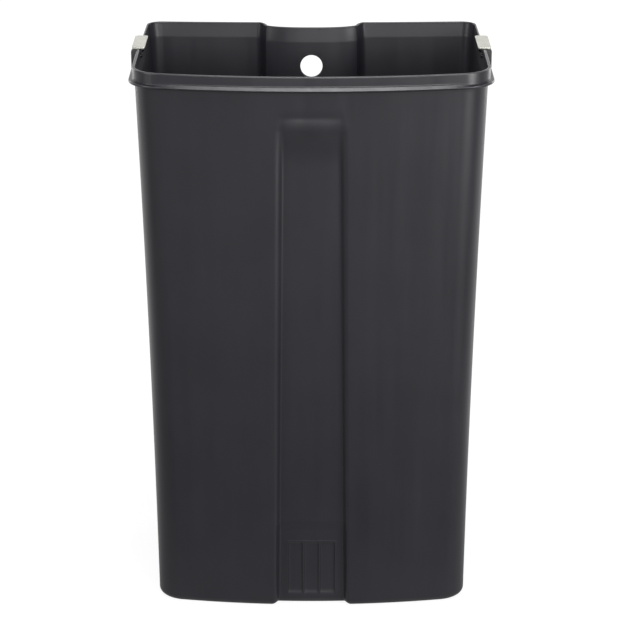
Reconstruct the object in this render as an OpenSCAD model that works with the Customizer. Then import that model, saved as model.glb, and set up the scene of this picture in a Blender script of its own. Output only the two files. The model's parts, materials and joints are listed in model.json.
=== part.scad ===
// Inner bucket of a rectangular litter bin: a drafted moulded bucket whose rim steps out round the front,
// and a hinged, sprung bag clip on a bracket at the middle of each side.
// Millimetres, +Z up, front towards -Y. The origin is the bottom centre of the bounding box.

/* [Bucket] */
// Outside width of the rim band, side to side
bucket_w = 363; // [310:1:440]
// Outside depth of the rim, front to back
bucket_d = 255; // [225:1:320]
// Height of the rim above the ground
bucket_h = 590; // [450:1:700]
// Thickness of the walls
wall = 2.6; // [2.5:0.1:3.2]
// Thickness of the floor
floor_t = 3.2; // [2.5:0.1:5]
// Inward lean of every wall at the rim, in degrees
draft = 2; // [1.2:0.05:2.2]
// Inward lean of every wall at the ground, in degrees
draft_low = 0.55; // [0.4:0.05:1.1]
// Corner radius at the front of the rim
front_corner_r = 34; // [24:1:45]
// Corner radius at the back of the rim
back_corner_r = 15; // [13:0.5:24]
// Radius of the gentle bow of the front, in plan
front_bow_r = 800; // [500:10:1500]
// How far the sides bow outwards, in plan
side_bow = 0.8; // [0.4:0.1:2]
// How far the middle of the back lies inside a flat back
back_dish = 4.5; // [1:0.5:8]
// Rounding along the bottom edge
foot_r = 7; // [4:0.5:12]

/* [Rim] */
// Step outwards from the body to the rim band
band_step = 2; // [1.6:0.1:4]
// Thickness of the rim band
band_t = 3.2; // [2.6:0.1:3.6]
// Height of the rim band above the flange
band_h = 12.5; // [11.5:0.5:18]
// Reach of the flange beyond the band
flange_w = 3.6; // [2.5:0.1:4]
// Thickness of the flange
flange_t = 2.5; // [1.8:0.1:3.5]
// Height of the ledge inside the band above the flange's top
ledge_lift = 1; // [0.5:0.1:1.5]
// Fall of the ledge towards the body
ledge_drop = 3.5; // [2.5:0.1:5]
// Rounding of the rim's top edges
rim_edge_r = 1; // [0.6:0.1:1]
// Step inside the plain rim at the back
back_step = 0.4; // [0.2:0.1:0.4]
// Length of the jog from the band to the plain rim
jog_l = 10; // [6:1:14]
// Distance of the jog's end before the bracket's back end
jog_inset = 2; // [1:0.5:4]

/* [Front channel] */
// Width of the channel between its lips, at its top
channel_w = 69; // [58:1:90]
// Width of the channel between its lips, at the ground
channel_low_w = 78; // [70:1:110]
// Width of each sloping flank, at the channel's top
flank_w = 6; // [4:0.5:8]
// Width of each sloping flank, at the ground
flank_low_w = 5; // [4:0.5:12]
// Depth of the channel
channel_depth = 6.5; // [4:0.5:9]
// Distance of the channel's top from the rim
channel_drop = 47; // [35:1:120]
// Height of the slope at the channel's top
channel_slope_h = 10; // [3:0.5:12]
// Height of the sunken pad at the foot of the channel
pad_h = 97; // [88:1:140]
// Height of the slope at the pad's top
pad_slope_h = 6; // [4:1:16]
// How far the pad lies behind the channel's floor
pad_sink = 1; // [0.6:0.1:2]

/* [Tipping grip] */
// Width of the ribbed grip
grip_w = 50; // [36:1:53]
// Height of the ribbed grip
grip_h = 62; // [40:1:66]
// Height of the grip's lower edge above the ground
grip_lift = 12; // [10:1:20]
// Depth of the grip's pockets
grip_depth = 1; // [0.6:0.1:1.4]
// Number of pockets side by side
grip_columns = 3; // [2:1:4]
// Width of the ribs between the pockets
grip_rib_w = 2; // [1:0.5:3]

/* [Back channel] */
// Width of the channel at its mouth
back_channel_w = 110; // [80:1:140]
// Depth of the channel
back_channel_depth = 25; // [15:1:32]
// Squareness of the channel in plan: 2 is an ellipse
back_channel_power = 2.6; // [2:0.1:3.5]
// Diameter of the round hole in the back
hole_d = 24; // [16:0.5:30]
// Distance of the hole's centre from the rim
hole_drop = 42; // [36:1:80]

/* [Clip bracket] */
// Length of the bracket along the side
bracket_l = 56; // [52:1:80]
// Thickness of the bracket outside the band
bracket_t = 6; // [5.9:0.1:8]
// Height of the bracket
bracket_h = 28; // [24:1:40]
// Distance of the bracket's middle behind the bucket's middle
bracket_y = 24; // [-20:1:30]
// Length of the hinge cheek at each end
cheek_l = 10; // [8:0.5:12]
// Room round the flange in the bracket's slot
slot_gap = 0.15; // [0.05:0.05:0.3]

/* [Bag clip] */
// Width of the clip's plate
clip_w = 13.4; // [11:0.1:16]
// Thickness of the clip's plate
clip_t = 1.6; // [1.2:0.1:2.5]
// Distance of the plate's outer edge inside the bracket's outer face
clip_inset = 0.8; // [0.5:0.1:1.5]
// Corner radius of the plate's outer corners
clip_corner_r = 3.5; // [1:0.5:5]
// Corner radius of the plate's inner corners
clip_inner_r = 1.2; // [0.5:0.1:3]
// Room between the closed clip and the rim
clip_gap = 0.3; // [0.2:0.05:0.5]
// Radius of the clip's hinge knuckles
knuckle_r = 2.5; // [2.3:0.1:2.6]
// Room round the knuckles in the bracket
knuckle_gap = 0.4; // [0.3:0.05:0.5]
// Width of the neck between knuckle and plate
neck_w = 3.6; // [2.6:0.1:4]

/* [Hinge pin and spring] */
// Diameter of the hinge pin
pin_d = 2.5; // [2:0.1:2.6]
// Running clearance of the clip on the pin, on the radius
pin_run_gap = 0.05; // [0.02:0.01:0.1]
// Clearance of the pin in the bracket, on the radius
pin_seat_gap = 0.02; // [0.01:0.01:0.05]
// Depth of the pin's blind seat in the front cheek
pin_seat_depth = 8; // [5:0.5:8]
// Diameter of the pin's head
pin_head_d = 4.4; // [3.6:0.1:5]
// Thickness of the pin's head
pin_head_t = 1; // [0.6:0.1:1.5]
// Diameter of the spring's wire
wire_d = 0.8; // [0.6:0.05:0.85]
// Number of turns of the spring
spring_turns = 5; // [3:1:6]
// Pitch of the spring's turns
spring_pitch = 1.4; // [1.35:0.05:1.8]
// Room between the spring and the pin
spring_gap = 0.3; // [0.2:0.05:0.35]
// Room for the spring between the knuckles
spring_room = 14; // [12:0.5:16]

/* [Bracket screws] */
// Diameter of the screws
screw_d = 3; // [2.5:0.1:3.2]
// Length of thread in the bracket
screw_grip = 4.5; // [3.5:0.1:4.8]
// Distance between the two screws
screw_span = 28; // [20:1:28]
// Distance of the screws below the rim
screw_drop = 8.6; // [8.3:0.1:8.8]
// Diameter of the screw heads
screw_head_d = 5; // [4.6:0.1:5.2]
// Diameter of the flat crown of the heads
screw_crown_d = 3.6; // [3.2:0.1:4.4]
// Thickness of the screw heads
screw_head_t = 1.6; // [1.3:0.1:2.2]
// Clearance of the screws in the wall, on the radius
screw_wall_gap = 0.2; // [0.1:0.05:0.4]
// Clearance of the screws in the bracket, on the radius
screw_seat_gap = 0.02; // [0.01:0.01:0.05]
// Clearance of the screw heads on the band
screw_head_gap = 0.02; // [0.01:0.01:0.05]
// Width of the cross recess in the heads
recess_w = 0.9; // [0.6:0.1:1.2]
// Length of the cross recess in the heads
recess_l = 2.8; // [2:0.1:3]
// Depth of the cross recess in the heads
recess_depth = 1; // [0.5:0.1:1.1]

/* [Hidden] */

// Fineness of true rounds
round_fn = 48;
// Overshoot of cutting tools past the faces that they cut
over = 1;
// Share of an inset that a corner radius follows
corner_follow = 0.4;
// Steps along the outline
corner_steps = 8;
back_corner_steps = 5;
front_steps = 4;
back_steps = 3;
back_channel_steps = 12;
// Steps up the walls
foot_steps = 4;
wall_steps = 6;

// Heights measured from the ground
rim_z = bucket_h;
flange_top_z = rim_z - band_h;
flange_low_z = flange_top_z - flange_t;
ledge_z = flange_top_z + ledge_lift;
channel_top_z = rim_z - channel_drop;
hole_z = rim_z - hole_drop;
screw_z = rim_z - screw_drop;

// Shift of the outline that centres the part, as the flange runs round the front only
mid_y = flange_w / 2;

// Places of the bracket's front end and of the jog along the sides, in the outline
bracket_front_y = bracket_y - bracket_l / 2 - mid_y;
jog_end_y = bracket_y + bracket_l / 2 - jog_inset - mid_y;
jog_start_y = jog_end_y - jog_l;
// Middle of the two screws, on the straight stretch of the band under the bracket
screw_mid_y = (bracket_front_y + jog_start_y) / 2 + mid_y;

// Inset of the body's outer face at height z from its place at the rim: the lean eases towards the ground
function lean(z) =
    let(drop = rim_z - z)
    drop * tan(draft) + drop * drop * (tan(draft_low) - tan(draft)) / (2 * rim_z);

// Share of the way down the front channel, from its top to the ground
function way_down(z) = max(0, min(1, (channel_top_z - z) / channel_top_z));
function lip_at(z) = (channel_w + (channel_low_w - channel_w) * way_down(z)) / 2;
function flank_at(z) = flank_w + (flank_low_w - flank_w) * way_down(z);
// How far a channel's lip moves for each unit that its wall is offset
function flank_shift(z) = tan(atan2(channel_depth, flank_at(z)) / 2);

// Sideways place of an outline's point, drawn in as the sides bow
function bowed(p) = p[0] * (1 - 2 * side_bow / bucket_w * pow(2 * p[1] / bucket_d, 2));

// Right half of the front edge at height z, from its middle round the corner to the jog.
// s: inset from the body's outer face at the rim, dip: depth of the channel here
function front_half(z, s, dip) =
    let(
        half_w = bucket_w / 2 - band_step - s,
        r = front_corner_r - (band_step + s) * corner_follow,
        bow_y = front_bow_r - (bucket_d / 2 - band_step - s),
        turn = asin((half_w - r) / (front_bow_r - r)),
        lip = lip_at(z) + (s - lean(z)) * flank_shift(z),
        foot = lip - flank_at(z),
        end = front_bow_r * sin(turn),
        corner = [half_w - r, bow_y - (front_bow_r - r) * cos(turn)],
        bow = function (x) bow_y - sqrt(front_bow_r * front_bow_r - x * x)
    )
    concat(
        [[0, bow(0) + dip], [foot, bow(foot) + dip], [lip, bow(lip)]],
        [for (i = [1:front_steps - 1]) let(x = lip + (end - lip) * i / front_steps) [x, bow(x)]],
        [for (i = [0:corner_steps])
            let(a = turn - 90 + (90 - turn) * i / corner_steps)
            corner + r * [cos(a), sin(a)]],
        [[half_w, bracket_front_y], [half_w, jog_start_y]]
    );

// Right half of the back edge at height z, from the jog round the corner to the middle of the channel
function back_half(z, s) =
    let(
        half_w = bucket_w / 2 - band_step - s,
        r = back_corner_r - s * corner_follow,
        edge_y = bucket_d / 2 - s,
        flat = half_w - r,
        mouth = back_channel_w / 2 + s - lean(z),
        dish = function (x) edge_y - back_dish * (1 - (x / flat) * (x / flat))
    )
    concat(
        [[half_w, jog_end_y]],
        [for (i = [0:back_corner_steps])
            let(a = 90 * i / back_corner_steps)
            [flat, edge_y - r] + r * [cos(a), sin(a)]],
        [for (i = [1:back_steps - 1])
            let(x = flat + (mouth - flat) * i / back_steps)
            [x, dish(x)]],
        [for (i = [0:back_channel_steps / 2])
            let(
                a = 180 * i / back_channel_steps,
                x = mouth * pow(cos(a), 2 / back_channel_power),
                inward = back_channel_depth * pow(sin(a), 2 / back_channel_power)
            )
            [x, dish(x) - inward]]
    );

// One ring of the shell, anticlockwise from the middle of the front.
// front, back: height and inset of the ring before and behind the jog
function ring(front, back, dip) =
    let(
        right = concat(
            [for (p = front_half(front[0], front[1], dip)) [bowed(p), p[1] + mid_y, front[0]]],
            [for (p = back_half(back[0], back[1])) [bowed(p), p[1] + mid_y, back[0]]]
        ),
        last = len(right) - 1
    )
    concat(right, [for (i = [last - 1:-1:1]) [-right[i][0], right[i][1], right[i][2]]]);

pad_dip = channel_depth + pad_sink;
floor_r = max(foot_r - wall, 1);

// A wall's rings from the foot up: inset of the wall from the body's outer face,
// and the height and rounding of its foot
function wall_rings(inset, foot_z, foot_round) =
    let(
        low_z = pad_h,
        high_z = channel_top_z - channel_slope_h + inset * flank_shift(channel_top_z)
    )
    concat(
        [for (i = [0:foot_steps])
            let(
                a = 90 * i / foot_steps,
                z = foot_z + foot_round * (1 - cos(a)),
                at = [z, lean(z) + inset + foot_round * (1 - sin(a))]
            )
            ring(at, at, pad_dip)],
        [for (level = concat(
                [[pad_h - pad_slope_h, pad_dip]],
                [for (i = [0:wall_steps]) [low_z + (high_z - low_z) * i / wall_steps, channel_depth]],
                [[high_z + channel_slope_h, 0]]
            ))
            let(at = [level[0], lean(level[0]) + inset])
            ring(at, at, level[1])]
    );

function reversed(list) = [for (i = [len(list) - 1:-1:0]) list[i]];

// Section of the rim from the body's outer face round to its inner face, before the jog and behind it
band_out = -band_step;
band_in = band_out + band_t;
flange_out = band_out - flange_w;
plain_in = wall - back_step;
edge_cut = rim_edge_r * (1 - sin(45));
rim_rings = [for (pair = [
        [[flange_low_z, lean(flange_low_z)], [flange_low_z, lean(flange_low_z)]],
        [[flange_low_z, flange_out], let(z = flange_low_z + flange_t / 3) [z, lean(z)]],
        [[flange_top_z, flange_out], let(z = flange_top_z - flange_t / 3) [z, lean(z)]],
        [[flange_top_z, band_out], [flange_top_z, lean(flange_top_z)]],
        [[rim_z - rim_edge_r, band_out], let(z = rim_z - rim_edge_r) [z, lean(z)]],
        [[rim_z - edge_cut, band_out + edge_cut], [rim_z - edge_cut, edge_cut]],
        [[rim_z, band_out + rim_edge_r], [rim_z, rim_edge_r]],
        [[rim_z, band_in - rim_edge_r], [rim_z, plain_in - rim_edge_r]],
        [[rim_z - edge_cut, band_in - edge_cut], [rim_z - edge_cut, plain_in - edge_cut]],
        [[rim_z - rim_edge_r, band_in], let(z = rim_z - rim_edge_r) [z, lean(z) + plain_in]],
        [[ledge_z, band_in], [flange_top_z, lean(flange_top_z) + plain_in]],
        let(z = ledge_z - ledge_drop, at = [z, lean(z) + wall]) [at, at]
    ])
    ring(pair[0], pair[1], 0)];

module shell() {
    rings = concat(
        wall_rings(0, 0, foot_r),
        rim_rings,
        reversed(wall_rings(wall, floor_t, floor_r))
    );
    n = len(rings[0]);
    last = len(rings) - 1;
    points = [for (r = rings) for (p = r) p];
    sides = [for (i = [0:last - 1]) for (j = [0:n - 1])
        let(
            a = i * n + j,
            b = i * n + (j + 1) % n
        )
        each [[a, a + n, b + n], [a, b + n, b]]];
    bottom = [for (j = [0:n - 1]) j];
    top = [for (j = [n - 1:-1:0]) last * n + j];
    polyhedron(points, concat(sides, [bottom, top]));
}

// Pockets of the tipping grip, cut into the pad at the foot of the front channel
module grip_pockets() {
    column_w = (grip_w - grip_rib_w * (grip_columns - 1)) / grip_columns;
    face_y = mid_y - bucket_d / 2 + band_step + lean(grip_lift) + pad_dip;
    tilt = atan((lean(grip_lift) - lean(grip_lift + grip_h)) / grip_h);
    translate([-grip_w / 2, face_y, grip_lift])
    rotate([tilt, 0, 0])
    for (i = [0:grip_columns - 1])
        translate([i * (column_w + grip_rib_w), -over, 0])
        cube([column_w, grip_depth + over, grip_h]);
}

// Places a child at each screw of the right bracket, pointing outwards along +X
module at_screws() {
    for (y = [-screw_span / 2, screw_span / 2])
        translate([0, screw_mid_y + y, screw_z])
        rotate([0, 90, 0])
        children();
}

// Places the children on the left side as a mirror image, or on the right as they are
module side(left) {
    if (left)
        mirror([1, 0, 0]) children();
    else
        children();
}

module bucket() {
    hole_reach = back_channel_depth + back_dish + lean(hole_z - hole_d / 2) + wall;
    screw_hole_r = screw_d / 2 + screw_wall_gap;
    color([0.13, 0.13, 0.145])
    difference() {
        shell();
        translate([0, bucket_d / 2 + mid_y, hole_z])
        rotate([90, 0, 0])
        cylinder(d = hole_d, h = hole_reach + wall, $fn = round_fn);
        grip_pockets();
        for (left = [false, true])
            side(left)
            at_screws()
            translate([0, 0, bucket_w / 2 - band_t - over])
            cylinder(r = screw_hole_r, h = band_t + 2 * over, $fn = round_fn);
    }
}

// Hinge of the right clip
bracket_x = bucket_w / 2;
bracket_out_x = bracket_x + bracket_t;
cheek_r = knuckle_r + knuckle_gap;
hinge_x = bracket_out_x - cheek_r;
hinge_z = rim_z - cheek_r;
plate_z = rim_z + clip_gap;
pocket_l = bracket_l - 2 * cheek_l;
pin_r = pin_d / 2;

// Block outside the band that hooks over the flange and carries the hinge
module bracket_block() {
    difference() {
        translate([bracket_x, bracket_y + bracket_l / 2, rim_z - bracket_h])
        rotate([90, 0, 0])
        linear_extrude(bracket_l)
        union() {
            square([bracket_t, bracket_h - cheek_r]);
            square([bracket_t - cheek_r, bracket_h]);
            translate([bracket_t - cheek_r, bracket_h - cheek_r])
            circle(cheek_r, $fn = round_fn);
        }
        // slot for the flange
        translate([
            bracket_x - over,
            bracket_y - bracket_l / 2 - over,
            flange_low_z - slot_gap
        ])
        cube([flange_w + slot_gap + over, bracket_l + 2 * over, flange_t + 2 * slot_gap]);
        // pocket for the knuckles and the spring
        translate([bracket_x - over, bracket_y - pocket_l / 2, hinge_z - cheek_r])
        cube([bracket_t + 2 * over, pocket_l, 2 * cheek_r + over]);
        // seat of the hinge pin, blind at the front
        translate([hinge_x, bracket_y - pocket_l / 2 - pin_seat_depth, hinge_z])
        rotate([-90, 0, 0])
        cylinder(r = pin_r + pin_seat_gap, h = bracket_l, $fn = round_fn);
        // screw seats
        at_screws()
        translate([0, 0, bracket_x - over])
        cylinder(r = screw_d / 2 + screw_seat_gap, h = screw_grip + slot_gap + over, $fn = round_fn);
    }
}

module clip_bracket(left) {
    color([0.15, 0.15, 0.16])
    side(left) bracket_block();
}

// Flat plate with its own radius at the outer and at the inner corners, outer edge at x = 0
module plate_outline() {
    half_l = bracket_l / 2;
    translate([-clip_corner_r, -half_l + clip_corner_r])
    square([clip_corner_r, 2 * (half_l - clip_corner_r)]);
    translate([-clip_w + clip_inner_r, -half_l])
    square([clip_w - clip_inner_r - clip_corner_r, bracket_l]);
    translate([-clip_w, -half_l + clip_inner_r])
    square([clip_inner_r, 2 * (half_l - clip_inner_r)]);
    for (end = [-1, 1]) {
        translate([-clip_corner_r, end * (half_l - clip_corner_r)])
        circle(clip_corner_r, $fn = round_fn);
        translate([-clip_w + clip_inner_r, end * (half_l - clip_inner_r)])
        circle(clip_inner_r, $fn = round_fn);
    }
}

// Metal plate over the rim, on two knuckles that turn on the hinge pin
module clip_solid() {
    knuckle_l = (pocket_l - spring_room) / 2 - knuckle_gap;
    difference() {
        union() {
            translate([bracket_out_x - clip_inset, bracket_y, plate_z])
            linear_extrude(clip_t)
            plate_outline();
            for (end = [0, 1])
                translate([
                    hinge_x,
                    bracket_y + (end == 0 ? -pocket_l / 2 + knuckle_gap : spring_room / 2),
                    hinge_z
                ]) {
                    rotate([-90, 0, 0])
                    cylinder(r = knuckle_r, h = knuckle_l, $fn = round_fn);
                    translate([-neck_w / 2, 0, 0])
                    cube([neck_w, knuckle_l, plate_z - hinge_z + clip_t / 2]);
                }
        }
        translate([hinge_x, bracket_y - pocket_l / 2, hinge_z])
        rotate([-90, 0, 0])
        cylinder(r = pin_r + pin_run_gap, h = pocket_l, $fn = round_fn);
    }
}

module bag_clip(left) {
    color([0.82, 0.82, 0.78])
    side(left) clip_solid();
}

// Plain pin with a flat head at the back
module pin_solid() {
    front_y = bracket_y - pocket_l / 2 - pin_seat_depth + pin_seat_gap;
    back_y = bracket_y + bracket_l / 2;
    translate([hinge_x, front_y, hinge_z])
    rotate([-90, 0, 0]) {
        cylinder(r = pin_r, h = back_y - front_y, $fn = round_fn);
        translate([0, 0, back_y - front_y])
        cylinder(d = pin_head_d, h = pin_head_t, $fn = round_fn);
    }
}

module hinge_pin(left) {
    color([0.7, 0.7, 0.7])
    side(left) pin_solid();
}

// Torsion spring: one leg under the plate's outer edge, the turns, one leg on the pocket's floor
coil_r = pin_r + spring_gap + wire_d / 2;
curl_rings = 8;
leg_up = plate_z - hinge_z - spring_gap;
leg_down = cheek_r - spring_gap;
coil_l = spring_turns * spring_pitch;
spring_path = concat(
    [[coil_r, -coil_l / 2, leg_up], [coil_r, -coil_l / 2, leg_up / 2]],
    [for (i = [0:spring_turns * curl_rings])
        let(a = -360 * i / curl_rings)
        [coil_r * cos(a), -coil_l / 2 + spring_pitch * i / curl_rings, coil_r * sin(a)]],
    [[coil_r, coil_l / 2, -leg_down / 2], [coil_r, coil_l / 2, -leg_down]]
);

function unit(v) = v / norm(v);

// Least gap between turns of the spring, measured on the points of its path
spring_self_gap = min([
    for (i = [0:len(spring_path) - 1])
        for (j = [i + curl_rings / 2:1:len(spring_path) - 1])
            norm(spring_path[i] - spring_path[j])
]) - wire_d;
echo(spring_self_gap = spring_self_gap);

module spring_solid() {
    sides = 6;
    last = len(spring_path) - 1;
    points = [for (i = [0:last])
        let(
            along = unit(spring_path[min(i + 1, last)] - spring_path[max(i - 1, 0)]),
            across = unit(cross(along, [0, 1, 0])),
            up = cross(across, along)
        )
        for (k = [0:sides - 1])
            spring_path[i] + wire_d / 2 * (cos(360 * k / sides) * across + sin(360 * k / sides) * up)];
    skin = [for (i = [0:last - 1]) for (k = [0:sides - 1])
        let(
            a = i * sides + k,
            b = i * sides + (k + 1) % sides
        )
        each [[a, b, b + sides], [a, b + sides, a + sides]]];
    first_end = [for (k = [sides - 1:-1:0]) k];
    last_end = [for (k = [0:sides - 1]) last * sides + k];
    translate([hinge_x, bracket_y, hinge_z])
    polyhedron(points, concat(skin, [first_end, last_end]));
}

module clip_spring(left) {
    color([0.45, 0.45, 0.46])
    side(left) spring_solid();
}

// Two screws from inside the bucket, through the band into the bracket
module screw_solids() {
    far_y = abs(bracket_y) + bracket_l / 2 + mid_y;
    head_x = bowed([bucket_w / 2 - band_t, far_y]) - screw_head_gap;
    shank_l = bracket_x + screw_grip - head_x;
    at_screws()
    translate([0, 0, head_x])
    difference() {
        union() {
            translate([0, 0, -screw_head_t])
            cylinder(d1 = screw_crown_d, d2 = screw_head_d, h = screw_head_t, $fn = round_fn);
            cylinder(d = screw_d, h = shank_l, $fn = round_fn);
        }
        for (turn = [0, 90])
            rotate([0, 0, turn])
            translate([-recess_l / 2, -recess_w / 2, -screw_head_t - over])
            cube([recess_l, recess_w, recess_depth + over]);
    }
}

module bracket_screws(left) {
    color([0.6, 0.6, 0.6])
    side(left) screw_solids();
}

bucket();
clip_bracket(true);  // left_clip_bracket
clip_bracket(false);  // right_clip_bracket
bag_clip(true);  // left_bag_clip
bag_clip(false);  // right_bag_clip
hinge_pin(true);  // left_hinge_pin
hinge_pin(false);  // right_hinge_pin
clip_spring(true);  // left_clip_spring
clip_spring(false);  // right_clip_spring
bracket_screws(true);  // left_bracket_screws
bracket_screws(false);  // right_bracket_screws
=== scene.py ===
import json
import bpy
import numpy as np
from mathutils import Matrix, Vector

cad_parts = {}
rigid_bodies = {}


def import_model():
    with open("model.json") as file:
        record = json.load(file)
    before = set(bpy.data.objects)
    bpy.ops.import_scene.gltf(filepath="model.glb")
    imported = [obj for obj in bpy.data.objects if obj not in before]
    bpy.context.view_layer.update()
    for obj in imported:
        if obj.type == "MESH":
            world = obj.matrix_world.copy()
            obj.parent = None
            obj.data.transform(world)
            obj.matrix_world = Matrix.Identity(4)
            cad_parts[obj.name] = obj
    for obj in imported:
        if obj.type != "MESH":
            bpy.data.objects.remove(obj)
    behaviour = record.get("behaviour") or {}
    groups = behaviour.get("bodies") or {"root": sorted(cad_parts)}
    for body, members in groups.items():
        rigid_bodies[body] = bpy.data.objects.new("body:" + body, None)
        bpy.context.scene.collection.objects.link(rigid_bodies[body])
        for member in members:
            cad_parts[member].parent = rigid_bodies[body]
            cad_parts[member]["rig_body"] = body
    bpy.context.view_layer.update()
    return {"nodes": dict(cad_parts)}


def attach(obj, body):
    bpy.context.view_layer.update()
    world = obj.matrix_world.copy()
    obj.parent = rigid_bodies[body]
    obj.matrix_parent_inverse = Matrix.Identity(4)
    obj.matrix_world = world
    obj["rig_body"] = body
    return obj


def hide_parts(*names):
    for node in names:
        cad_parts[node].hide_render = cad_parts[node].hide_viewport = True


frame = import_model()
mm = 0.001  # sizes below are in millimetres, meshes in metres
print("frame loaded:", len(frame["nodes"]), "nodes")


# ramp from 0 to 1 as t goes from 0 to 1; a parabola eases each bend, soft or softEnd to either side of it
def softRamp(t, soft=0.3, softEnd=None):
    def bend(u, reach):
        return np.where(u > reach, u, np.where(u < -reach, 0, (u + reach) ** 2 / (4 * reach)))
    return bend(t, soft) - bend(t - 1, softEnd or soft)


# open path through corners, each inner corner eased by a parabola that starts and ends reach away from it
def easedPath(corners, reach, steps):
    corners = np.asarray(corners, float)
    middle = corners[1:-1]
    reach = np.asarray(reach, float)[:, None]
    back = corners[:-2] - middle
    ahead = corners[2:] - middle
    start = middle + back / np.linalg.norm(back, axis=1, keepdims=True) * reach
    end = middle + ahead / np.linalg.norm(ahead, axis=1, keepdims=True) * reach
    t = np.linspace(0, 1, steps)[None, :, None]
    arcs = (1 - t) ** 2 * start[:, None] + 2 * t * (1 - t) * middle[:, None] + t ** 2 * end[:, None]
    return np.concatenate([corners[:1], arcs.reshape(-1, 2), corners[-1:]])


# numbers along a line of stops, so many steps from each stop towards the next
def evenly(stops, counts):
    spans = zip(stops, stops[1:], counts)
    return np.concatenate([np.linspace(low, high, count, endpoint=False) for low, high, count in spans])


# shares of a way gone in equal steps, without its start
def inSteps(steps):
    return np.linspace(0, 1, steps + 1)[1:]


# how far x, z lies inside a rectangle with rounded corners; negative outside
def insideRounded(x, z, halfX, halfZ, corner):
    overX, overZ = np.abs(x) - halfX + corner, np.abs(z) - halfZ + corner
    outside = np.hypot(np.maximum(overX, 0), np.maximum(overZ, 0))
    return corner - outside - np.minimum(np.maximum(overX, overZ), 0)


# point numbers of a grid, row by row
def numbered(rows, columns):
    return np.arange(rows * columns).reshape(rows, columns)


# faces between rows of point numbers; closed joins the last point of each row to its first
def rowFaces(number, closed=True):
    ahead = np.roll(number, -1, 1)
    faces = np.stack([number[:-1], ahead[:-1], ahead[1:], number[1:]], -1)
    if not closed:
        faces = faces[:, :-1]
    return faces.reshape(-1, 4)


# faces of a tube of rings, with a flat face on either end
def tubeFaces(rings, around):
    number = numbered(rings, around)
    return rowFaces(number).tolist() + [number[0, ::-1].tolist(), number[-1].tolist()]


# solid of revolution about +Y through (x, z): radius r at each y, with flat ends
def turned(y, r, x, z, around=40):
    turn = np.linspace(0, 2 * np.pi, around, endpoint=False)[None, :]
    y, r = np.asarray(y, float)[:, None], np.asarray(r, float)[:, None]
    points = np.stack([x + r * np.sin(turn), y + 0 * turn, z + r * np.cos(turn)], -1)
    return points.reshape(-1, 3), tubeFaces(len(y), around)


# tube of diameter d along a path that never runs along Y, with flat ends
def wireTube(path, d, sides=10):
    along = np.gradient(path, axis=0)
    along /= np.linalg.norm(along, axis=1, keepdims=True)
    across = np.cross(along, [0, 1, 0])
    across /= np.linalg.norm(across, axis=1, keepdims=True)
    up = np.cross(along, across)
    turn = np.linspace(0, 2 * np.pi, sides, endpoint=False)[None, :, None]
    points = path[:, None] + d / 2 * (np.cos(turn) * across[:, None] + np.sin(turn) * up[:, None])
    return points.reshape(-1, 3), tubeFaces(len(path), sides)


# several shapes as one: the faces of each are numbered after the points of those before it
def joined(*shapes):
    starts = np.cumsum([0] + [len(points) for points, faces in shapes])
    faces = [[start + i for i in face] for start, shape in zip(starts, shapes) for face in shape[1]]
    return np.concatenate([points for points, faces in shapes]), faces


# the left piece is the right one mirrored, with its faces turned round again
def onSide(left, shape):
    points, faces = shape
    if not left:
        return points, faces
    return points * [-1, 1, 1], [list(face)[::-1] for face in faces]


# a mesh object that stands for a CAD node and rides on the node's body
def makePiece(name, shape, material, node, sharp):
    points, faces = shape
    mesh = bpy.data.meshes.new(name)
    mesh.from_pydata((points * mm).tolist(), [], faces)
    mesh.shade_smooth()
    mesh.set_sharp_from_angle(angle=np.radians(sharp))
    mesh.materials.append(material)
    piece = bpy.data.objects.new(name, mesh)
    bpy.context.scene.collection.objects.link(piece)
    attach(piece, frame["nodes"][node]["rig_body"])
    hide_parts(node)
    return piece


# narrow bevel along every edge that is sharper than angle
def roundEdges(piece, width, segments=3, angle=40):
    bevel = piece.modifiers.new("roundEdges", "BEVEL")
    bevel.width = width * mm
    bevel.segments = segments
    bevel.limit_method = "ANGLE"
    bevel.angle_limit = np.radians(angle)
    bevel.harden_normals = True


def link(tree, source, target):
    tree.links.new(source, target)


# a shader node group with named float sockets and a Coordinate input
def newGroup(name, inputs, outputs):
    tree = bpy.data.node_groups.new(name, "ShaderNodeTree")
    tree.interface.new_socket("Coordinate", in_out="INPUT", socket_type="NodeSocketVector")
    for socket in inputs:
        tree.interface.new_socket(socket, in_out="INPUT", socket_type="NodeSocketFloat")
    for socket in outputs:
        tree.interface.new_socket(socket, in_out="OUTPUT", socket_type="NodeSocketFloat")
    return tree, tree.nodes.new("NodeGroupInput"), tree.nodes.new("NodeGroupOutput")


def noiseNode(tree, vector, scale, detail, roughness=0.55):
    node = tree.nodes.new("ShaderNodeTexNoise")
    node.inputs["Detail"].default_value = detail
    node.inputs["Roughness"].default_value = roughness
    link(tree, vector, node.inputs["Vector"])
    link(tree, scale, node.inputs["Scale"])
    return node.outputs["Fac"]


# coordinates scaled along each axis; a pattern on them runs long where the scale is small
def stretched(tree, vector, scale):
    node = tree.nodes.new("ShaderNodeMapping")
    node.inputs["Scale"].default_value = scale
    link(tree, vector, node.inputs["Vector"])
    return node.outputs["Vector"]


# a value carried over from one range to another, and held at its ends
def mapped(tree, value, fromLow, fromHigh, toLow, toHigh):
    node = tree.nodes.new("ShaderNodeMapRange")
    limits = {"From Min": fromLow, "From Max": fromHigh, "To Min": toLow, "To Max": toHigh}
    for socket, number in limits.items():
        node.inputs[socket].default_value = number
    link(tree, value, node.inputs["Value"])
    return node.outputs["Result"]


# a and b are sockets or numbers
def mathNode(tree, operation, a, b):
    node = tree.nodes.new("ShaderNodeMath")
    node.operation = operation
    for socket, value in zip(node.inputs, (a, b)):
        if isinstance(value, (int, float)):
            socket.default_value = value
        else:
            link(tree, value, socket)
    return node.outputs["Value"]


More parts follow.
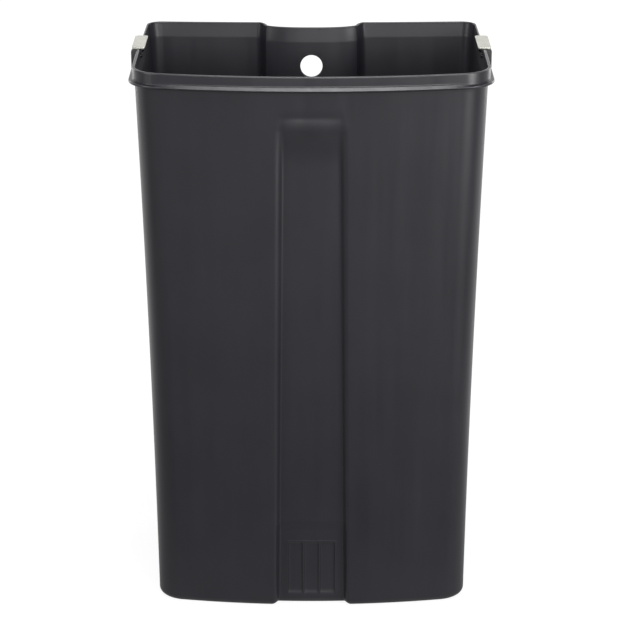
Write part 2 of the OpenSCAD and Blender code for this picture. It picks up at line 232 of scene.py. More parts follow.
# a and b are sockets or colours
def mixColour(tree, factor, a, b):
    node = tree.nodes.new("ShaderNodeMix")
    node.data_type = "RGBA"
    link(tree, factor, node.inputs["Factor"])
    for socket, value in zip((node.inputs[6], node.inputs[7]), (a, b)):  # the two colours
        if isinstance(value, (tuple, list)):
            socket.default_value = (*value, 1)
        else:
            link(tree, value, socket)
    return node.outputs[2]  # the mixed colour


# fine mould texture, slow mottling of the pigment, and draw marks that run up the wall
def makeMouldGrain():
    inputs, outputs = ["Grain", "Mottle", "Draw"], ["Height", "Mottling", "Marks"]
    tree, given, result = newGroup("mouldGrain", inputs, outputs)
    place = given.outputs["Coordinate"]
    upright = stretched(tree, place, (1, 1, 0.06))
    link(tree, noiseNode(tree, place, given.outputs["Grain"], detail=4), result.inputs["Height"])
    link(tree, noiseNode(tree, place, given.outputs["Mottle"], detail=3), result.inputs["Mottling"])
    link(tree, noiseNode(tree, upright, given.outputs["Draw"], detail=2), result.inputs["Marks"])
    return tree


# brush lines along Y, and cloudy tarnish
def makeBrushedLines():
    tree, given, result = newGroup("brushedLines", ["Lines", "Cloud"], ["Height", "Tarnish"])
    place = given.outputs["Coordinate"]
    lengthways = stretched(tree, place, (1, 0.03, 1))
    link(tree, noiseNode(tree, lengthways, given.outputs["Lines"], detail=3), result.inputs["Height"])
    link(tree, noiseNode(tree, place, given.outputs["Cloud"], detail=4), result.inputs["Tarnish"])
    return tree


mouldGrain = makeMouldGrain()
brushedLines = makeBrushedLines()


# an empty material with its shader, and the outputs of one group that reads Object coordinates
def newMaterial(name, group, values):
    material = bpy.data.materials.new(name)
    material.use_nodes = True
    tree = material.node_tree
    shader = tree.nodes["Principled BSDF"]
    place = tree.nodes.new("ShaderNodeTexCoord")
    node = tree.nodes.new("ShaderNodeGroup")
    node.node_tree = group
    link(tree, place.outputs["Object"], node.inputs["Coordinate"])
    for socket, value in values.items():
        node.inputs[socket].default_value = value
    return material, tree, shader, node.outputs


# fine relief on a surface, distance deep at full height
def bumpInto(tree, shader, height, distance, strength):
    bump = tree.nodes.new("ShaderNodeBump")
    bump.inputs["Distance"].default_value = distance * mm
    bump.inputs["Strength"].default_value = strength
    link(tree, height, bump.inputs["Height"])
    link(tree, bump.outputs["Normal"], shader.inputs["Normal"])


# roughness that a noise varies by roughSpread to either side of rough
def unevenGloss(tree, noise, look):
    smooth, coarse = look["rough"] - look["roughSpread"], look["rough"] + look["roughSpread"]
    return mapped(tree, noise, *look["glossRange"], smooth, coarse)


# moulded plastic: mottled pigment, paler and smoother where the edge attribute is high, which is rubbed
# wear on the foot and a painted highlight on the ridge and the rim's and flange's edges; gloss broken by
# draw marks
def makePlastic(name, look):
    groupValues = {"Grain": look["grain"], "Mottle": look["mottle"], "Draw": look["draw"]}
    material, tree, shader, out = newMaterial(name, mouldGrain, groupValues)
    # edge attribute: rubbed wear on the foot, painted highlight on the ridge and the rim's and flange's
    # edges
    edge = tree.nodes.new("ShaderNodeAttribute")
    edge.attribute_name = "edge"
    patchy = mapped(tree, out["Mottling"], *look["wearHighlightRange"], look["wearHighlightLeast"], 1)
    wearHighlightShare = mathNode(tree, "MULTIPLY", edge.outputs["Fac"], patchy)
    tone = mapped(tree, out["Mottling"], *look["toneRange"], 0, 1)
    pigment = mixColour(tree, tone, look["deep"], look["pale"])
    link(tree, mixColour(tree, wearHighlightShare, pigment, look["wearHighlightColour"]), shader.inputs["Base Color"])
    gloss = unevenGloss(tree, out["Marks"], look)
    polished = mathNode(tree, "MULTIPLY", wearHighlightShare, look["polish"])
    link(tree, mathNode(tree, "SUBTRACT", gloss, polished), shader.inputs["Roughness"])
    shader.inputs["IOR"].default_value = look["ior"]
    bumpInto(tree, shader, out["Height"], look["relief"], look["reliefStrength"])
    return material


# bare or plated metal: two tones by tarnish, satin lines in gloss and relief
def makeMetal(name, look):
    groupValues = {"Lines": look["lines"], "Cloud": look["cloud"]}
    material, tree, shader, out = newMaterial(name, brushedLines, groupValues)
    tone = mapped(tree, out["Tarnish"], *look["toneRange"], 0, 1)
    link(tree, mixColour(tree, tone, look["bright"], look["dull"]), shader.inputs["Base Color"])
    link(tree, unevenGloss(tree, out["Height"], look), shader.inputs["Roughness"])
    shader.inputs["Metallic"].default_value = look["metallic"]
    bumpInto(tree, shader, out["Height"], look["relief"], look["reliefStrength"])
    return material


# the ranges are those of a noise: below the first number it has no effect, above the second its full one
bucketPlasticLook = {
    "deep": (0.0115, 0.0112, 0.0148),
    "pale": (0.0140, 0.0136, 0.0178),
    "toneRange": (0.3, 0.7),
    # pale colour of the rubbed foot and of the painted highlight on the ridge and the rim's and flange's
    # edges
    "wearHighlightColour": (0.055, 0.055, 0.06),
    "wearHighlightRange": (0.3, 0.65),
    "wearHighlightLeast": 0.5,
    "grain": 900.0,
    "mottle": 16.0,
    "draw": 70.0,
    "rough": 0.36,
    "roughSpread": 0.035,
    "glossRange": (0.3, 0.7),
    "polish": 0.1,
    "ior": 1.5,
    "relief": 0.06,
    "reliefStrength": 0.25,
}
bracketPlasticLook = {
    **bucketPlasticLook,
    "deep": (0.03, 0.03, 0.032),
    "pale": (0.036, 0.036, 0.038),
    "rough": 0.42,
}
clipMetalLook = {
    "bright": (0.62, 0.62, 0.56),
    "dull": (0.52, 0.52, 0.47),
    "toneRange": (0.35, 0.7),
    "lines": 1500.0,
    "cloud": 90.0,
    "rough": 0.4,
    "roughSpread": 0.06,
    "glossRange": (0.3, 0.7),
    "metallic": 0.9,
    "relief": 0.02,
    "reliefStrength": 0.5,
}
pinSteelLook = {
    **clipMetalLook,
    "bright": (0.55, 0.55, 0.55),
    "dull": (0.42, 0.42, 0.43),
    "rough": 0.3,
    "metallic": 1.0,
}
springSteelLook = {
    **pinSteelLook,
    "bright": (0.3, 0.3, 0.31),
    "dull": (0.2, 0.2, 0.21),
    "rough": 0.35,
}
screwSteelLook = {
    **pinSteelLook,
    "bright": (0.05, 0.05, 0.055),
    "dull": (0.03, 0.03, 0.032),
    "cloud": 400.0,
}

bucketPlastic = makePlastic("bucketPlastic", bucketPlasticLook)
bracketPlastic = makePlastic("bracketPlastic", bracketPlasticLook)
clipMetal = makeMetal("clipMetal", clipMetalLook)
pinSteel = makeMetal("pinSteel", pinSteelLook)
springSteel = makeMetal("springSteel", springSteelLook)
screwSteel = makeMetal("screwSteel", screwSteelLook)
print("materials made")


bucket = {
    "width": 363.0, "depth": 255.0, "height": 590.0, "wall": 2.6, "floor": 3.2,
    "draft": 2.0, "draftLow": 0.55,  # lean of the walls at the rim and at the ground, in degrees
    "frontCorner": 34.0, "backCorner": 15.0, "foot": 7.0,
    "cornerFollow": 0.4,  # share of a wall's inset that its corners lose
    "frontBow": 800.0, "sideBow": 0.8, "backDish": 4.5,  # radius of the front, bend of sides and back
    "bandStep": 2.0, "bandThick": 3.2, "bandHigh": 12.5, "bandTuck": 0.2,
    "ledgeLift": 1.0,  # of the ledge inside the rim, over the flange's top
    "flangeReach": 3.6, "flangeThick": 2.5,
    "flareDrop": 1.1, "flareRise": 3.1, "flareEdge": 0.3, "flareFillet": 1.4,
    "flareHalf": 146.0, "flareFade": 22.0,  # from here on to either side the flange turns flat
    "underHigh": 1.6, "underRun": 1.3,  # chamfer under the flare
    "backStep": 1.0, "backStepTop": 2.0, "backStepHigh": 16.0,  # inside the back rim
    "jogLength": 10.0, "jogInset": 2.0,  # behind each bracket
    "channelWide": 69.0, "channelLowWide": 78.0, "channelDeep": 6.5, "flank": 6.3, "flankLow": 4.2,
    "lipSoft": 0.55, "footSoft": 0.25,  # easing of the flanks' two bends, in flank widths
    "channelDrop": 47.0, "channelSlope": 26.0, "channelCorner": 6.0,
    "ridge": 1.5, "ridgeFrom": 4.0, "ridgeTo": -2.0, "ridgeFade": 14.0,  # along the channel's top
    "padHigh": 97.0, "padSlope": 7.0, "padSink": 1.5,
    "gripWide": 50.0, "gripHigh": 62.0, "gripLift": 12.0, "gripDeep": 1.3, "gripColumns": 3, "gripRib": 2.0,
    "gripEdge": 0.6, "gripTop": 2.4, "gripFoot": 4.0, "pocketCorner": 1.0,
    "gripBead": 0.3, "gripBeadWide": 1.4, "beadCorner": 2.0,
    "backWide": 110.0, "backDeep": 25.0, "backPower": 2.6,
    "backLipOut": 3.0, "backLipIn": 3.5, "backLipDeep": 16.0,  # eased mouth of the back channel
    "hole": 24.0, "holeDrop": 42.0, "holeEdge": 0.7,
    "holePatch": 16.0,  # half the block of the mesh that is laid round the hole
    "footWear": 0.5, "ridgeHighlight": 0.6,  # where 1 is fully rubbed on the foot and a full painted highlight on the ridge
    "bracketLong": 56.0, "bracketMid": 24.0,
}
rimZ = bucket["height"]
flangeTop = rimZ - bucket["bandHigh"]
flangeLow = flangeTop - bucket["flangeThick"]
ledgeHigh = flangeTop + bucket["ledgeLift"]
channelTop = rimZ - bucket["channelDrop"]
holeZ = rimZ - bucket["holeDrop"]
midY = bucket["flangeReach"] / 2  # the band's middle; band and front flange together lie evenly about 0
bracketFront = bucket["bracketMid"] - bucket["bracketLong"] / 2 - midY
jogEnd = bucket["bracketMid"] + bucket["bracketLong"] / 2 - bucket["jogInset"] - midY
jogStart = jogEnd - bucket["jogLength"]
halfWide = bucket["width"] / 2 - bucket["bandStep"]  # body's outer face at the rim
pocketWide = (bucket["gripWide"] - bucket["gripRib"] * (bucket["gripColumns"] - 1)) / bucket["gripColumns"]
patchLow, patchHigh = holeZ - bucket["holePatch"], holeZ + bucket["holePatch"]
patchRows, patchColumns = 24, 6  # mesh steps of the block round the hole: up it, and across half of it


# inset of the body's outer face at height z: a lean that eases towards the ground
def leanAt(z):
    drop = rimZ - z
    high, low = np.tan(np.radians([bucket["draft"], bucket["draftLow"]]))
    return drop * high + drop ** 2 * (low - high) / (2 * rimZ)


# a size of the front channel at height z, which changes evenly from its top to the ground
def downChannel(z, top, low):
    return top + (low - top) * np.clip((channelTop - z) / channelTop, 0, 1)


# width of the front channel's flanks at height z
def flankAt(z):
    return downChannel(z, bucket["flank"], bucket["flankLow"])


# half width and top of the front channel at height z, for a wall inset from the outer one
def channelAt(z, inset):
    shift = inset * np.tan(np.arctan2(bucket["channelDeep"], flankAt(z)) / 2)
    wide = downChannel(z, bucket["channelWide"], bucket["channelLowWide"])
    return wide / 2 + shift, channelTop + shift


# share of the low ridge along the channel's top at x, z: it swells downwards, then fades into the channel
def ridgeAt(x, z, lip, top):
    swell = softRamp((bucket["ridgeFrom"] - z + top) / (bucket["ridgeFrom"] - bucket["ridgeTo"]))
    fade = softRamp((bucket["ridgeTo"] - z + top) / bucket["ridgeFade"])
    return (swell - fade) * softRamp((lip - np.abs(x)) / bucket["ridgeFade"], 0.5)


# depth of the front channel at x, z: a ramp over the distance from its lips, a little deeper over the pad,
# under the ridge along its top
def channelDip(x, z, inset):
    lip, top = channelAt(z, inset)
    flank = flankAt(z)
    steep = flank / bucket["channelSlope"]
    inside = insideRounded(x, z * steep, lip, top * steep, bucket["channelCorner"])
    pad = bucket["padSink"] * softRamp((bucket["padHigh"] - z) / bucket["padSlope"])
    ramp = softRamp(inside / flank, bucket["lipSoft"], bucket["footSoft"])
    return (bucket["channelDeep"] + pad) * ramp - bucket["ridge"] * ridgeAt(x, z, lip, top)


# depth of the grip at x, z: pockets that run out at their feet, inside a low bead
def gripDip(x, z):
    columns, bead = bucket["gripColumns"], bucket["gripBeadWide"]
    centres = (np.arange(columns) - (columns - 1) / 2) * (pocketWide + bucket["gripRib"])
    nearest = centres[np.argmin(np.abs(x[..., None] - centres), axis=-1)]
    halfLong = bucket["gripHigh"] / 2 + bucket["gripFoot"]
    up = z - bucket["gripLift"]
    over = up - bucket["gripHigh"] + halfLong  # above a pocket's middle, with its foot counted in
    slant = bucket["gripEdge"] / bucket["gripTop"]
    inPocket = insideRounded(
        x - nearest, over * slant, pocketWide / 2, halfLong * slant, bucket["pocketCorner"])
    inBead = insideRounded(x, over, bucket["gripWide"] / 2 + bead, halfLong + bead, bucket["beadCorner"])
    acrossBead = inBead * 2 / bead
    raised = bucket["gripBead"] * (softRamp(acrossBead, 0.5) - softRamp(acrossBead - 1, 0.5))
    sunk = bucket["gripDeep"] * softRamp(inPocket / bucket["gripEdge"], 0.5)
    return (sunk - raised) * softRamp(up / bucket["gripFoot"], 0.5)


# half width of the back channel's mouth for a wall inset s from the rim line
def backMouth(z, s):
    return bucket["backWide"] / 2 + s - leanAt(z)


# back face at x for a wall inset s from the rim line: a dished back with a superellipse channel
def backFace(x, z, s):
    edgeY = bucket["depth"] / 2 - s
    flat = halfWide - s - bucket["backCorner"] + s * bucket["cornerFollow"]
    power = bucket["backPower"]
    inward = bucket["backDeep"] * np.maximum(0, 1 - np.abs(x / backMouth(z, s)) ** power) ** (1 / power)
    return edgeY - bucket["backDish"] * (1 - (x / flat) ** 2) - inward


# right half of a ring from the middle of the front to the jog; z and s have one row per ring
def frontHalf(z, s):
    r = bucket["frontCorner"] - (bucket["bandStep"] + s) * bucket["cornerFollow"]
    half = halfWide - s
    bow = bucket["frontBow"]
    bowY = bow - (bucket["depth"] / 2 - bucket["bandStep"] - s)
    turn = np.arcsin((half - r) / (bow - r))
    lip, flank = channelAt(z, s - leanAt(z))[0], flankAt(z)

    # stations across the channel's floor, closer together at the edges of the pockets and on the bead
    pocketEdge = np.array([-0.5, -0.15, 0.15, 0.45, 0.8])
    beadEdge = np.array([0.8, 1.1, 1.4])
    midPocket, sidePocket = [0, 2.5, 5], [12, 15, 18, 21]
    pocketHalf, gripHalf = pocketWide / 2, bucket["gripWide"] / 2
    floorX = np.concatenate([
        midPocket, pocketHalf - pocketEdge[::-1], pocketHalf + bucket["gripRib"] + pocketEdge,
        sidePocket, gripHalf - pocketEdge[::-1], gripHalf + beadEdge,
    ])[None, :]
    leastStep = 0.4  # from the floor's last station to the flank's first
    flankX = lip - flank * np.linspace(1 + bucket["footSoft"], -bucket["lipSoft"], 18)
    squeeze = np.minimum(1, (flankX[:, :1] - leastStep) / floorX[:, -1:])  # where the flank starts sooner
    panelStart = lip + flank * bucket["lipSoft"]
    panelX = panelStart + (bow * np.sin(turn) - panelStart) * inSteps(11)
    x = np.concatenate([floorX * squeeze, flankX, panelX], axis=1)
    y = bowY - np.sqrt(bow ** 2 - x ** 2)

    angle = turn - np.pi / 2 + (np.pi / 2 - turn) * inSteps(15)
    cornerX = half - r + r * np.cos(angle)
    cornerY = bowY - (bow - r) * np.cos(turn) + r * np.sin(angle)
    sideY = np.concatenate([
        cornerY[:, -1:] + (bracketFront - cornerY[:, -1:]) * inSteps(7),
        bracketFront + (jogStart - bracketFront) * inSteps(4) + 0 * z,
    ], axis=1)
    return np.concatenate([x, cornerX, half + 0 * sideY], 1), np.concatenate([y, cornerY, sideY], 1)


# right half of a ring from the jog's end to the middle of the back; the channel's mouth has an eased lip
def backHalf(z, s):
    half = halfWide - s
    r = bucket["backCorner"] - s * bucket["cornerFollow"]
    edgeY = bucket["depth"] / 2 - s
    sideY = np.concatenate([jogEnd + 0 * z, jogEnd + (edgeY - r - jogEnd) * inSteps(7)], 1)
    angle = np.linspace(0, np.pi / 2, 11)[1:]
    mouth, power = backMouth(z, s), bucket["backPower"]
    lipStart, lipBend = mouth + bucket["backLipOut"], mouth - bucket["backLipIn"]
    lipEnd = mouth * (1 - (bucket["backLipDeep"] / bucket["backDeep"]) ** power) ** (1 / power)
    panelX = half - r + (lipStart - half + r) * inSteps(8)
    t = inSteps(12)
    lipX = (1 - t) ** 2 * lipStart + 2 * t * (1 - t) * lipBend + t ** 2 * lipEnd
    lipY = (1 - t ** 2) * backFace(lipStart, z, s) + t ** 2 * backFace(lipEnd, z, s)
    patch, beside = bucket["holePatch"], bucket["holePatch"] + 2
    wallX = beside + (lipEnd - beside) * (1 - inSteps(10) ** 2)
    floorX = np.linspace(patch, 0, patchColumns + 1)[None, :] + 0 * z
    channelX = np.concatenate([wallX, floorX], 1)
    x = np.concatenate([half + 0 * sideY, half - r + r * np.cos(angle), panelX, lipX, channelX], 1)
    y = np.concatenate([
        sideY, edgeY - r + r * np.sin(angle), backFace(panelX, z, s), lipY, backFace(channelX, z, s),
    ], 1)
    return x, y


# sections of the rim from the outer wall to the inner one, as height and inset:
# along the front a band stepped outwards over a flared flange, round the corners the same with a flat one,
# behind the jog a plain wall with a faint step inside; and the painted highlight along the edges of the
# first two
def rimSections(steps=6):
    wall, outside, inside = bucket["wall"], -bucket["bandStep"], bucket["bandThick"] - bucket["bandStep"]
    reach = outside - bucket["flangeReach"]
    run, innerRun, ledgeRun = 6.0, 3.0, 10.0  # below the flange, at the inner end and under the ledge
    foot = ledgeHigh - ledgeRun
    innerEnd = [foot - innerRun, leanAt(foot - innerRun) + wall]
    inner = [[rimZ, outside], [rimZ, inside], [ledgeHigh, inside], [foot, leanAt(foot) + wall], innerEnd]
    innerEase = [1.3, 1.3, 1.5, 1.5]
    start = [[flangeLow - run, leanAt(flangeLow - run)]]

    edgeHigh = flangeTop - bucket["flareDrop"]
    edgeLow = edgeHigh - bucket["flareEdge"]
    under = edgeLow - bucket["underHigh"]
    flare = [
        [under, leanAt(under)], [under, reach + bucket["underRun"]], [edgeLow, reach], [edgeHigh, reach],
        [edgeHigh + bucket["flareRise"], outside + bucket["bandTuck"]],
    ]
    flareEase = [1.0, 0.4, 0.14, 0.14, bucket["flareFillet"]]
    square = [
        [flangeLow, leanAt(flangeLow)], [flangeLow, reach + bucket["underRun"]], [flangeLow, reach],
        [flangeTop, reach], [flangeTop, outside],
    ]
    squareEase = [1.0, 0.4, 0.7, 0.9, 0.6]
    flared = easedPath(start + flare + inner, flareEase + innerEase, steps)
    flat = easedPath(start + square + inner, squareEase + innerEase, steps)

    plain = wall - bucket["backStep"]
    stepHigh, stepLow = rimZ - bucket["backStepTop"], rimZ - bucket["backStepHigh"]
    backTop = [
        [rimZ - run, 0], [rimZ, 0], [rimZ, plain], [stepHigh, plain + leanAt(stepHigh)],
        [stepLow, leanAt(stepLow) + wall], innerEnd,
    ]
    backEase = [0.4, 1.1, 0.5, 1.0]
    topRoom = 0.8  # from the last plain ring to the top, more than its easing needs
    z = np.linspace(flangeLow - run, rimZ - topRoom, 1 + 5 * steps)
    back = np.concatenate([np.stack([z, leanAt(z)], 1), easedPath(backTop, backEase, steps)[1:]])

    wearAndHighlight = np.zeros(len(flared))
    highlightCorners = {2: 0.7, 3: 1.0, 5: 0.8, 6: 0.8}  # painted highlight on the edges of flange and rim, counted from the wall
    for corner, amount in highlightCorners.items():
        wearAndHighlight[1 + corner * steps:1 + (corner + 1) * steps] = amount * np.sin(np.linspace(0, np.pi, steps))
    return flared, flat, back, wearAndHighlight


footTurn = np.linspace(0, np.pi / 2, 10)  # from the underside to the wall


# height and inset of a rounded foot of radius r that stands on base, under a wall inset from the outer one
def roundedFoot(r, base, wall):
    z = base + r * (1 - np.cos(footTurn))
    return z, leanAt(z) + wall + r * (1 - np.sin(footTurn))


# heights of the rings: closer together at the grip's foot and top, over the pad's slope and round the hole
gripFootZ, gripTopZ = bucket["gripLift"], bucket["gripLift"] + bucket["gripHigh"]
slopeLow, slopeHigh = bucket["padHigh"] - 11, bucket["padHigh"] + 3
wallStops = [
    gripFootZ - 3.5, gripFootZ + 6.5, gripTopZ - 3.6, gripTopZ + 2.4,
    slopeLow, slopeHigh, patchLow, patchHigh, patchHigh + 3,
]
innerStops = [patchHigh, patchLow, slopeHigh, slopeLow, gripFootZ]
wallZ = evenly(wallStops, [10, 9, 15, 4, 12, 22, patchRows, 2])
innerZ = evenly(innerStops, [patchRows, 16, 8, 6])
footZ, footS = roundedFoot(bucket["foot"], 0, 0)
floorZ, floorS = roundedFoot(bucket["foot"] - bucket["wall"], bucket["floor"], bucket["wall"])
flaredRim, flatRim, backRim, rimHighlight = rimSections()
rimStart = len(footZ) + len(wallZ)
innerStart = rimStart + len(flaredRim)


# height and inset of every ring: up the outer wall, across the rim and down the inner wall to the floor
def ringRows(rim):
    z = np.concatenate([footZ, wallZ, rim[:, 0], innerZ, floorZ[::-1]])
    s = np.concatenate([footS, leanAt(wallZ), rim[:, 1], leanAt(innerZ) + bucket["wall"], floorS[::-1]])
    return z[:, None], s[:, None]


# the shell as rings of points, each with its share of wear and painted highlight: the front turns from the
# flared rim to the flat one, the jog ramps from there to the plain back, and the left half mirrors the
# right one
def shellRings():
    zFlared, sFlared = ringRows(flaredRim)
    zFlat, sFlat = ringRows(flatRim)
    zBack, sBack = ringRows(backRim)
    flaredX, flaredY = frontHalf(zFlared, sFlared)
    flatX, flatY = frontHalf(zFlat, sFlat)
    isFlat = softRamp((flaredX - bucket["flareHalf"]) / bucket["flareFade"], 0.4)
    frontX = flaredX + (flatX - flaredX) * isFlat
    frontY = flaredY + (flatY - flaredY) * isFlat
    frontZ = zFlared + (zFlat - zFlared) * isFlat
    inset = sFlared - leanAt(zFlared)
    pockets = gripDip(frontX, frontZ)
    pockets[rimStart:] = 0
    frontY = frontY + channelDip(frontX, frontZ, inset) + pockets

    t = np.linspace(0, 1, 12)[None, 1:-1]
    share = softRamp(t, 0.45)
    jogX = halfWide - sFlat - (sBack - sFlat) * share
    jogY = jogStart + (jogEnd - jogStart) * t + 0 * zFlat
    jogZ = zFlat + (zBack - zFlat) * share
    backX, backY = backHalf(zBack, sBack)
    x = np.concatenate([frontX, jogX, backX], 1)
    y = np.concatenate([frontY, jogY, backY], 1)
    z = np.concatenate([frontZ, jogZ, zBack + 0 * backX], 1)
    x = x * (1 - 2 * bucket["sideBow"] / bucket["width"] * (2 * y / bucket["depth"]) ** 2)
    right = np.stack([x, y + midY, z], -1)
    left = right[:, -2:0:-1] * [-1, 1, 1]

    # rubbed wear along the foot; painted highlight on the ridge and along the rim's and flange's edges
    # before the jog
    wearAndHighlight = np.zeros(x.shape)
    wearAndHighlight[:len(footZ)] = bucket["footWear"] * np.sin(2 * footTurn)[:, None]
    onRidge = ridgeAt(frontX, frontZ, *channelAt(zFlared, inset))
    wallRows = slice(len(footZ), rimStart)
    wearAndHighlight[wallRows, :frontX.shape[1]] = bucket["ridgeHighlight"] * onRidge[wallRows]
    beforeJog = np.concatenate([np.ones(frontX.shape[1]), 1 - share[0], np.zeros(backX.shape[1])])
    wearAndHighlight[rimStart:innerStart] = rimHighlight[:, None] * beforeJog
    return np.concatenate([right, left], 1), np.concatenate([wearAndHighlight, wearAndHighlight[:, -2:0:-1]], 1)


# round hole: the faces of one block of each wall make way for rings that lead from its border to the hole,
# through the wall and out to the border of the other wall's block
def holeThrough(shell, number):
    middle = number.shape[1] // 2
    low, high = middle - patchColumns, middle + patchColumns
    outerLow = len(footZ) + int(np.argmin(np.abs(wallZ - patchLow)))
    outerHigh = outerLow + patchRows
    innerHigh, innerLow = innerStart, innerStart + patchRows
    keep = np.ones((number.shape[0] - 1, number.shape[1]), bool)
    keep[outerLow:outerHigh, low:high] = False
    keep[innerHigh:innerLow, low:high] = False

    def border(bottom, top):
        step = 1 if top > bottom else -1
        upright = np.arange(bottom, top, step)
        across = np.arange(low, high)
        row = np.concatenate([0 * across + bottom, upright, 0 * across + top, upright[::-1] + step])
        column = np.concatenate([across, 0 * upright + high, across[::-1] + 1, 0 * upright + low])
        return number[row, column]

    outerLoop, innerLoop = border(outerLow, outerHigh), border(innerLow, innerHigh)
    aroundX, aroundZ = shell[outerLoop, 0], shell[outerLoop, 2] - holeZ
    away = np.hypot(aroundX, aroundZ)
    radius, ease = bucket["hole"] / 2, bucket["holeEdge"]
    spread = np.array([0.3, 0.6, 0.85])  # shares of the way from the border to the hole
    bend = np.linspace(0, np.pi / 2, 5)
    outRadius = away + (radius + ease - away) * spread[:, None]
    bendRadius = radius + ease * (1 - np.sin(bend))[:, None] + 0 * away
    ringRadius = np.concatenate([outRadius, bendRadius, bendRadius[::-1], outRadius[::-1]])
    ringX, ringZ = ringRadius * (aroundX / away), holeZ + ringRadius * (aroundZ / away)
    sunk = np.concatenate([0 * spread, ease * (1 - np.cos(bend))])
    wall = np.repeat([0, bucket["wall"]], len(sunk))[:, None]
    ringY = backFace(ringX, ringZ, leanAt(ringZ) + wall)
    ringY = ringY + np.concatenate([-sunk, sunk[::-1]])[:, None] + midY
    points = np.stack([ringX, ringY, ringZ], -1).reshape(-1, 3)
    rings = len(shell) + numbered(*ringRadius.shape)
    return keep, points, rowFaces(np.concatenate([outerLoop[None], rings, innerLoop[None]]))


# the shell as one sheet of rings with a hole through it, closed by its underside and its floor
def makeBucket():
    rings, wearAndHighlight = shellRings()
    number = numbered(*rings.shape[:2])
    shell = rings.reshape(-1, 3)
    keep, holePoints, holeFaces = holeThrough(shell, number)
    walls = rowFaces(number).reshape(*keep.shape, 4)[keep]
    ends = [number[0, ::-1].tolist(), number[-1].tolist()]
    faces = walls.tolist() + holeFaces.tolist() + ends
    wearAndHighlight = np.concatenate([wearAndHighlight.reshape(-1), np.zeros(len(holePoints))])
    return (np.concatenate([shell, holePoints]), faces), wearAndHighlight


bucketShape, bucketWearAndHighlight = makeBucket()
bucketPiece = makePiece("bucketShell", bucketShape, bucketPlastic, "bucket", 60)
# edge attribute: rubbed wear on the foot, painted highlight on the ridge and the rim's and flange's edges
wearHighlightAttribute = bucketPiece.data.attributes.new("edge", "FLOAT", "POINT")
wearHighlightAttribute.data.foreach_set("value", bucketWearAndHighlight.astype(np.float32))
print("bucket made:", len(bucketPiece.data.polygons), "faces")


bracket = {"thick": 6.0, "high": 28.0, "cheek": 10.0, "slotGap": 0.15, "edge": 0.5}
clip = {
    "wide": 13.4, "thick": 1.6, "inset": 0.8, "gap": 0.3, "outerCorner": 3.5, "innerCorner": 1.2,
    "lipWide": 2.4, "lipDrop": 0.5, "edge": 0.15,
    "knuckle": 2.5, "knuckleGap": 0.4, "neck": 3.6, "bore": 1.3,
}
bracketIn = bucket["width"] / 2
bracketOut = bracketIn + bracket["thick"]
bracketY = bucket["bracketMid"]
bracketStart, bracketStop = bracketY - bucket["bracketLong"] / 2, bracketY + bucket["bracketLong"] / 2
pocketStart, pocketStop = bracketStart + bracket["cheek"], bracketStop - bracket["cheek"]
cheekRound = clip["knuckle"] + clip["knuckleGap"]
hingeX, hingeZ = bracketOut - cheekRound, rimZ - cheekRound
plateLow = rimZ + clip["gap"]


# a C-shaped body along the side, hooked over the flange, with a rounded hinge cheek on top at each end
def makeBracket():
    floorZ = hingeZ - cheekRound
    slotLow, slotHigh = flangeLow - bracket["slotGap"], flangeTop + bracket["slotGap"]
    slotIn = bracketIn + bucket["flangeReach"] + bracket["slotGap"]
    bottom = rimZ - bracket["high"]
    body = np.array([
        [bracketIn, bottom], [bracketOut, bottom], [bracketOut, floorZ], [bracketIn, floorZ],
        [bracketIn, slotHigh], [slotIn, slotHigh], [slotIn, slotLow], [bracketIn, slotLow],
    ])
    turn = np.linspace(0, np.pi / 2, 9)
    cheek = np.concatenate([
        np.stack([hingeX + cheekRound * np.cos(turn), hingeZ + cheekRound * np.sin(turn)], 1),
        [[bracketIn, rimZ]],
    ])
    stations = np.array([bracketStart, pocketStart, pocketStop, bracketStop])[:, None]

    def placed(outline):
        x, z = outline[:, 0] + 0 * stations, outline[:, 1] + 0 * stations
        return np.stack([x, stations + 0 * x, z], -1).reshape(-1, 3)

    points = np.concatenate([placed(body), placed(cheek)])
    bodyId = numbered(len(stations), len(body))
    cheekId = bodyId.size + numbered(len(stations), len(cheek))
    chain = np.concatenate([bodyId[:, 2:3], cheekId, bodyId[:, 3:4]], 1)
    full = np.concatenate([bodyId[:, :3], cheekId, bodyId[:, 3:]], 1)
    following = np.roll(bodyId, -1, 1)
    sides = np.stack([bodyId[:-1], bodyId[1:], following[1:], following[:-1]], -1)
    pocket, cheeks = 1, (0, 2)  # spans between the stations
    topSide = 2  # of the body; it shows only in the pocket
    faces = []
    for k, part in enumerate(sides.tolist()):
        faces += [face for i, face in enumerate(part) if i != topSide or k == pocket]
    for k in cheeks:
        faces += np.stack([chain[k, :-1], chain[k + 1, :-1], chain[k + 1, 1:], chain[k, 1:]], -1).tolist()
    faces += [full[0].tolist(), chain[1, ::-1].tolist(), chain[2].tolist(), full[3, ::-1].tolist()]
    return points, faces


